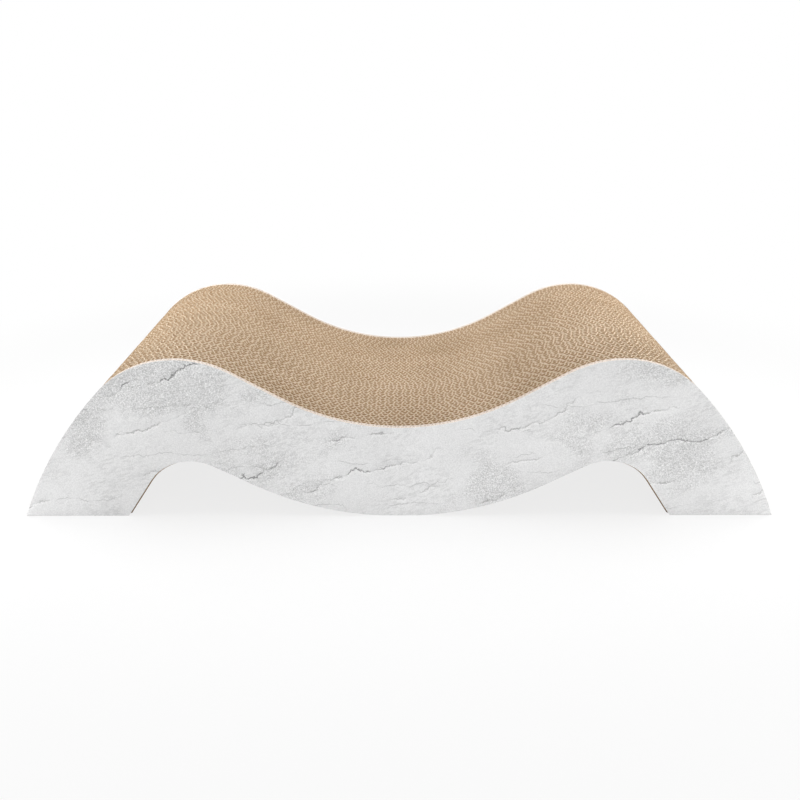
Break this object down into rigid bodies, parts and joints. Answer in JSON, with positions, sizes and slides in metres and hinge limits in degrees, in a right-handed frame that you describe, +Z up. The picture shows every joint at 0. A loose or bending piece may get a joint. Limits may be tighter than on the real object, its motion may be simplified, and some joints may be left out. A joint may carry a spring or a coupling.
{
  "type": "cat scratcher",
  "caption": "Low wave-shaped cat scratcher of stacked corrugated board: a lying hollow between raised crests, arched underneath, with stone-look printed sides.",
  "frame": {"origin": "on the floor, under the middle of the stack", "axes": "+X along the wave from foot to foot, the printed front faces -Y, +Z up"},
  "size_m": [0.68, 0.25, 0.151],
  "materials": {
    "corrugated_board": "raw kraft, cut edges",
    "facing_board": "raw board, cut edges",
    "stone_print": "matt printed paper, pale stone look"
  },
  "bodies": {
    "root": {"slat_01": "corrugated_board", "slat_02": "corrugated_board", "slat_03": "corrugated_board", "slat_04": "corrugated_board", "slat_05": "corrugated_board", "slat_06": "corrugated_board", "slat_07": "corrugated_board", "slat_08": "corrugated_board", "slat_09": "corrugated_board", "slat_10": "corrugated_board", "slat_11": "corrugated_board", "slat_12": "corrugated_board", "slat_13": "corrugated_board", "slat_14": "corrugated_board", "slat_15": "corrugated_board", "slat_16": "corrugated_board", "slat_17": "corrugated_board", "slat_18": "corrugated_board", "slat_19": "corrugated_board", "slat_20": "corrugated_board", "slat_21": "corrugated_board", "slat_22": "corrugated_board", "slat_23": "corrugated_board", "slat_24": "corrugated_board", "slat_25": "corrugated_board", "slat_26": "corrugated_board", "slat_27": "corrugated_board", "slat_28": "corrugated_board", "slat_29": "corrugated_board", "slat_30": "corrugated_board", "slat_31": "corrugated_board", "slat_32": "corrugated_board", "slat_33": "corrugated_board", "slat_34": "corrugated_board", "slat_35": "corrugated_board", "slat_36": "corrugated_board", "slat_37": "corrugated_board", "slat_38": "corrugated_board", "slat_39": "corrugated_board", "slat_40": "corrugated_board", "slat_41": "corrugated_board", "slat_42": "corrugated_board", "slat_43": "corrugated_board", "slat_44": "corrugated_board", "slat_45": "corrugated_board", "slat_46": "corrugated_board", "slat_47": "corrugated_board", "slat_48": "corrugated_board", "slat_49": "corrugated_board", "slat_50": "corrugated_board", "slat_51": "corrugated_board", "slat_52": "corrugated_board", "slat_53": "corrugated_board", "slat_54": "corrugated_board", "slat_55": "corrugated_board", "slat_56": "corrugated_board", "front_facing_board": "facing_board", "rear_facing_board": "facing_board", "front_print": "stone_print", "rear_print": "stone_print"}
  },
  "joints": []
}
